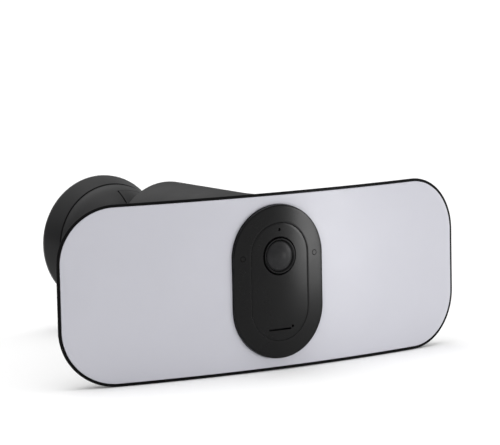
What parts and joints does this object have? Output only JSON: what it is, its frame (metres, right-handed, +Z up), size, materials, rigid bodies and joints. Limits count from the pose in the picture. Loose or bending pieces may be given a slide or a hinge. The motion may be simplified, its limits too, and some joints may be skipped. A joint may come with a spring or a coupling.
{
  "type": "floodlight security camera",
  "caption": "Wall-mounted battery floodlight: a wide bent light panel around an upright oval camera face, on a round barrel, a tilting neck and a round swivelling wall base.",
  "frame": {"origin": "centre of the wall plate's back face, on the wall", "axes": "+Z up, +Y into the wall, -Y the way the light and the camera face, +X along the light panel's width"},
  "size_m": [0.3666, 0.3069, 0.141],
  "materials": {
    "mount_black": "satin black moulded plastic",
    "mount_metal": "satin black coated die casting",
    "plate_steel": "zinc plated",
    "seal_rubber": "soft black seal",
    "nylon": "natural nylon",
    "bright_steel": "bright steel",
    "rim_black": "satin black rim",
    "diffuser": "frosted translucent lavender white",
    "tray_white": "matte reflective white",
    "circuit_board": "solder mask",
    "led": "phosphor",
    "heat_aluminium": "plain sheet",
    "case_black": "satin black moulded plastic",
    "screw_black": "black oxide",
    "face_black": "fine matte black",
    "window_black": "smooth satin black",
    "ring_black": "black lens ring",
    "lens_glass": "dark coated lens glass",
    "clear_glass": "clear",
    "dark_glass": "infrared passing black",
    "cell_black": "plain black moulding",
    "chip_black": "epoxy black",
    "contact_brass": "gold flashed",
    "button_rubber": "soft black rubber"
  },
  "bodies": {
    "base": {"base_ring": "mount_black", "swivel_bush": "nylon", "wall_plate": "plate_steel", "wall_gasket": "seal_rubber"},
    "swivel": {"swivel_head": "mount_metal", "hinge_pin": "bright_steel", "hinge_plug": "mount_black", "swivel_shaft": "bright_steel", "wave_washer": "bright_steel", "swivel_nut": "bright_steel"},
    "neck": {"neck_arm": "mount_metal", "friction_washers": "nylon", "roll_washer": "nylon", "roll_nut": "bright_steel"},
    "lamp": {"front_bezel": "rim_black", "light_diffuser": "diffuser", "panel_gasket": "seal_rubber", "reflector_tray": "tray_white", "led_board_left": "circuit_board", "led_board_right": "circuit_board", "led_emitters_left": "led", "led_emitters_right": "led", "heat_spreader": "heat_aluminium", "panel_rear_shell": "case_black", "barrel_collar": "case_black", "shell_screws": "screw_black", "camera_face": "face_black", "face_window": "window_black", "lens_ring": "ring_black", "lens_dome": "lens_glass", "lens_cell": "cell_black", "lens_element": "clear_glass", "sensor_board": "circuit_board", "ir_windows": "dark_glass", "ir_emitters": "led", "light_sensor": "dark_glass", "microphone": "chip_black", "motion_sensor": "bright_steel", "speaker": "chip_black", "main_board": "circuit_board", "board_chips": "chip_black", "wifi_antennas": "contact_brass", "barrel_shell": "case_black", "barrel_rear_cap": "case_black", "cap_screws": "screw_black", "charge_port": "chip_black", "battery_bay": "cell_black", "battery_contacts": "contact_brass", "release_spring": "bright_steel", "spring_post": "cell_black", "button_board": "circuit_board", "status_light": "clear_glass"},
    "battery": {"battery_pack": "cell_black", "battery_cover": "case_black"},
    "release": {"release_button": "case_black"},
    "sync": {"sync_button": "button_rubber"},
    "port_flap": {"port_cover": "button_rubber"}
  },
  "joints": [
    {"name": "base_swivel", "type": "hinge", "parent": "base", "child": "swivel", "pos_m": [0, -0.023, 0], "axis": [0, 1, 0], "range_deg": [-170, 170]},
    {"name": "neck_tilt", "type": "hinge", "parent": "swivel", "child": "neck", "pos_m": [0, -0.033, 0], "axis": [1, 0, 0], "range_deg": [0, 45]},
    {"name": "lamp_roll", "type": "hinge", "parent": "neck", "child": "lamp", "pos_m": [0, -0.122, 0.0125], "axis": [0, 1, 0], "range_deg": [-95, 95]},
    {"name": "battery_slide", "type": "slide", "parent": "lamp", "child": "battery", "axis": [0, 0, -1], "range_m": [0, 0.06]},
    {"name": "release_press", "type": "slide", "parent": "lamp", "child": "release", "axis": [0, 0, 1], "range_m": [0, 0.0015], "stiffness_N_per_m": 800, "springref_m": -0.001, "deforming": ["release_spring"]},
    {"name": "sync_press", "type": "slide", "parent": "lamp", "child": "sync", "axis": [0, 0, 1], "range_m": [0, 0.0008], "stiffness_N_per_m": 900, "springref_m": -0.0008},
    {"name": "port_flap", "type": "hinge", "parent": "lamp", "child": "port_flap", "pos_m": [0.02, -0.122, -0.024], "axis": [-1, 0, 0], "range_deg": [0, 100]}
  ]
}
